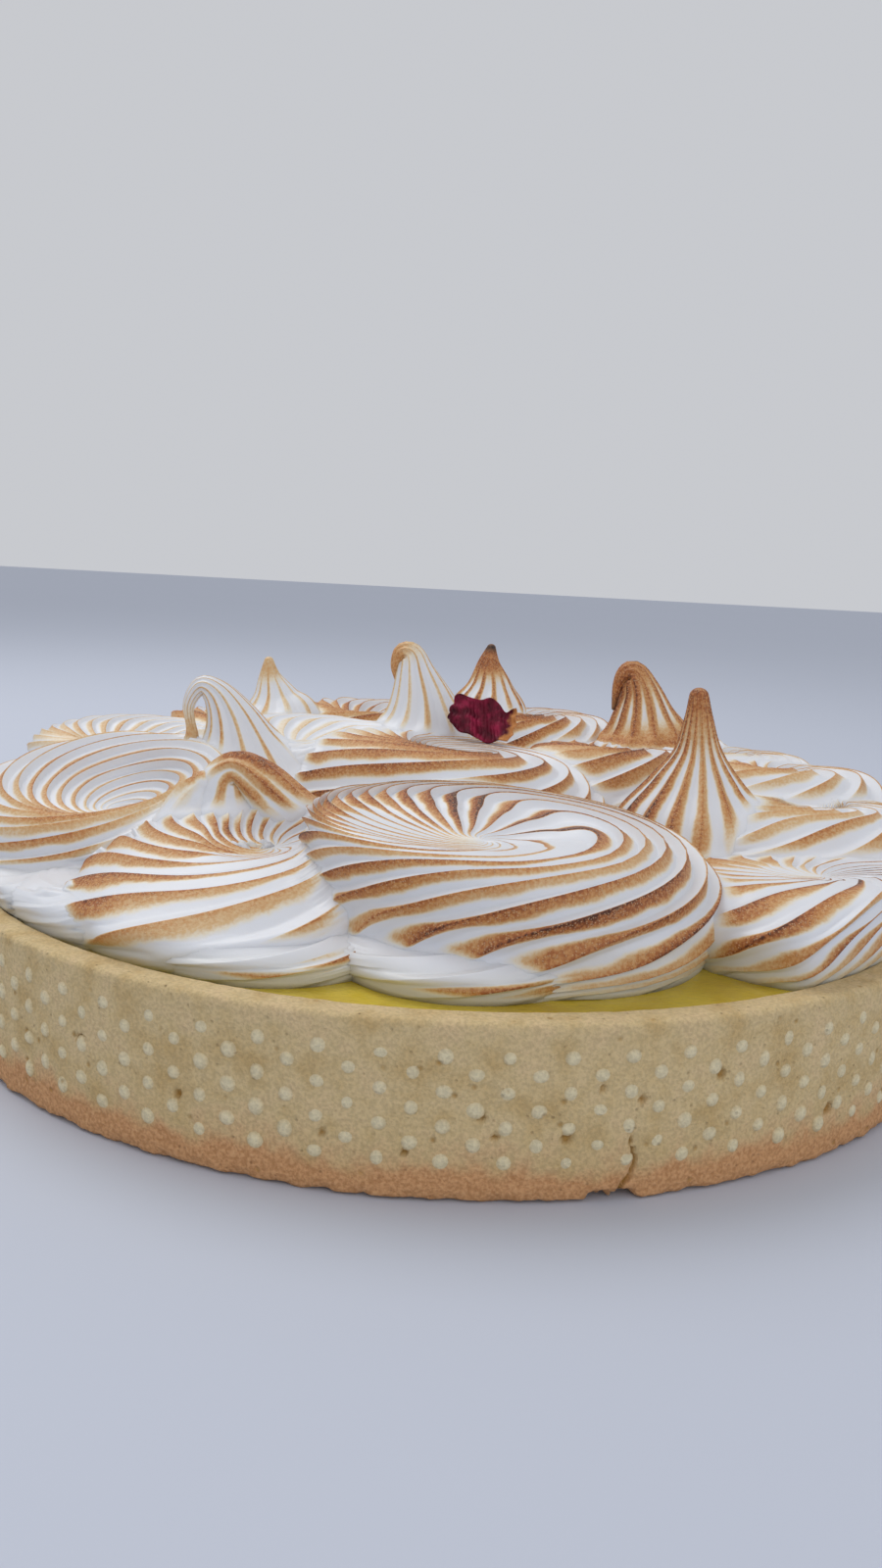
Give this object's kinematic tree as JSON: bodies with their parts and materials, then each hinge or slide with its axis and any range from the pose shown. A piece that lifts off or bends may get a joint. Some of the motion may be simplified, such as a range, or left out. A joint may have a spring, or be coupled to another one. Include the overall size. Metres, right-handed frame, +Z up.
{
  "type": "lemon meringue tart",
  "caption": "Round straight-sided shortcrust tart filled with lemon curd, topped with torched piped meringue rosettes and peaked kisses, with a rose petal.",
  "frame": {"origin": "middle of the flat underside of the pastry shell", "axes": "+Z up, -Y towards the side that is piped most regularly, +X to its right"},
  "size_m": [0.24, 0.24, 0.084],
  "materials": {
    "crust": "matte",
    "curd": "gloss",
    "meringue": "satin",
    "petal": "matte"
  },
  "bodies": {
    "root": {"crust": "crust", "lemon_curd": "curd", "meringue_kiss_back": "meringue", "meringue_kiss_back_left": "meringue", "meringue_kiss_back_right": "meringue", "meringue_kiss_centre": "meringue", "meringue_kiss_left": "meringue", "meringue_kiss_right": "meringue", "meringue_rosette_back": "meringue", "meringue_rosette_back_centre": "meringue", "meringue_rosette_back_left": "meringue", "meringue_rosette_back_right": "meringue", "meringue_rosette_centre": "meringue", "meringue_rosette_centre_left": "meringue", "meringue_rosette_centre_right": "meringue", "meringue_rosette_far_left": "meringue", "meringue_rosette_front": "meringue", "meringue_rosette_front_left": "meringue", "meringue_rosette_front_right": "meringue", "meringue_rosette_left": "meringue", "meringue_rosette_middle_left": "meringue", "meringue_rosette_right": "meringue", "meringue_rosette_right_back": "meringue", "meringue_rosette_right_middle": "meringue", "rose_petal": "petal"}
  },
  "joints": []
}
